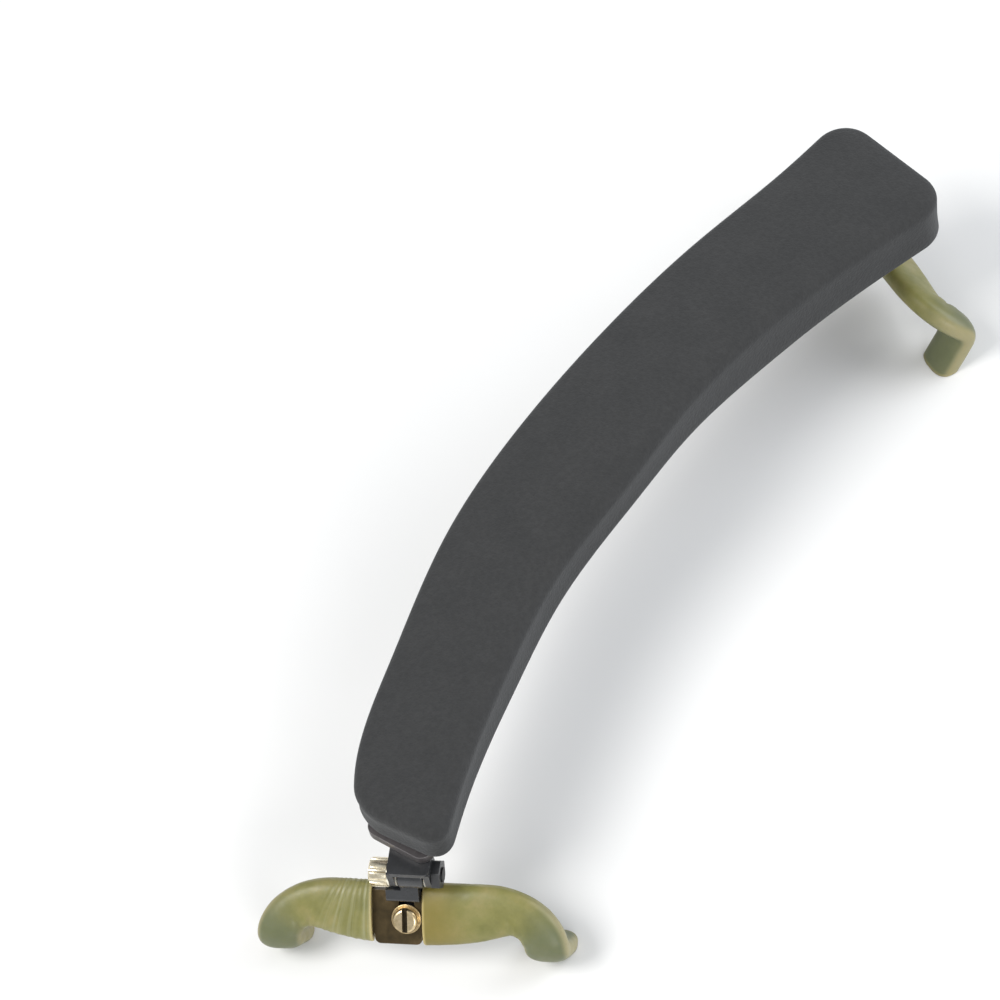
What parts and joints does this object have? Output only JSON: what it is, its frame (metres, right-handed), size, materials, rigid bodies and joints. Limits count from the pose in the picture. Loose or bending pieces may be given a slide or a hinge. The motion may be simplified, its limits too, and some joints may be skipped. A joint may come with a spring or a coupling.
{
  "type": "violin shoulder rest",
  "caption": "Folding violin shoulder rest: curved metal bar with a foam pad on top and a hinged, rubber-sleeved claw fork under each end.",
  "frame": {"origin": "centre of the footprint, on the plane of the four sleeve ends that the rest stands on", "axes": "+X from the chest fork to the shoulder fork, +Y towards the scroll of the violin, +Z away from the violin's back"},
  "size_m": [0.2344, 0.0674, 0.0449],
  "materials": {
    "foam": "fine-celled matte charcoal foam",
    "bar_metal": "satin pressed strip",
    "adhesive": "thin black double-sided sheet",
    "black_steel": "satin black enamel",
    "black_cast": "semi-gloss black enamel on a casting",
    "brass": "turned brass, lightly worn",
    "pale_brass": "nickelled brass",
    "bronzed_steel": "dark bronzed steel",
    "nylon": "natural nylon",
    "sleeve_rubber": "translucent olive-amber rubber tubing"
  },
  "bodies": {
    "base": {"base_bar": "bar_metal", "pad_adhesive": "adhesive", "foam_pad": "foam", "width_screws": "brass", "width_washers": "brass"},
    "chest_carriage": {"chest_bracket": "black_steel", "chest_hinge_screw": "pale_brass", "chest_hinge_washer": "pale_brass", "chest_hinge_nut": "black_steel", "chest_friction_washers": "nylon"},
    "chest_leg": {"chest_hinge_leg": "black_cast", "chest_fork_screw": "brass", "chest_fork_washer": "brass"},
    "chest_fork": {"chest_fork_plate": "bronzed_steel", "chest_sleeve_neck_side": "sleeve_rubber", "chest_sleeve_tail_side": "sleeve_rubber"},
    "shoulder_carriage": {"shoulder_bracket": "black_steel", "shoulder_hinge_screw": "pale_brass", "shoulder_hinge_washer": "pale_brass", "shoulder_hinge_nut": "black_steel", "shoulder_friction_washers": "nylon"},
    "shoulder_leg": {"shoulder_hinge_leg": "black_cast", "shoulder_fork_screw": "brass", "shoulder_fork_washer": "brass"},
    "shoulder_fork": {"shoulder_fork_plate": "bronzed_steel", "shoulder_sleeve_neck_side": "sleeve_rubber", "shoulder_sleeve_tail_side": "sleeve_rubber"}
  },
  "joints": [
    {"name": "chest_width", "type": "slide", "parent": "base", "child": "chest_carriage", "axis": [-0.8949, -0.4462, 0], "range_m": [-0.005, 0.005]},
    {"name": "chest_fold", "type": "hinge", "parent": "chest_carriage", "child": "chest_leg", "pos_m": [-0.09342, 0.00004, 0.0236], "axis": [0.4462, -0.8949, 0], "range_deg": [0, 90]},
    {"name": "chest_height", "type": "slide", "parent": "chest_leg", "child": "chest_fork", "axis": [-0.6328, -0.3155, -0.7071], "range_m": [0, 0.003]},
    {"name": "shoulder_width", "type": "slide", "parent": "base", "child": "shoulder_carriage", "axis": [0.891, -0.454, 0], "range_m": [-0.005, 0.005]},
    {"name": "shoulder_fold", "type": "hinge", "parent": "shoulder_carriage", "child": "shoulder_leg", "pos_m": [0.0932, 0.00413, 0.0236], "axis": [0.454, 0.891, 0], "range_deg": [0, 90]},
    {"name": "shoulder_height", "type": "slide", "parent": "shoulder_leg", "child": "shoulder_fork", "axis": [0.63, -0.321, -0.7071], "range_m": [0, 0.003]}
  ]
}
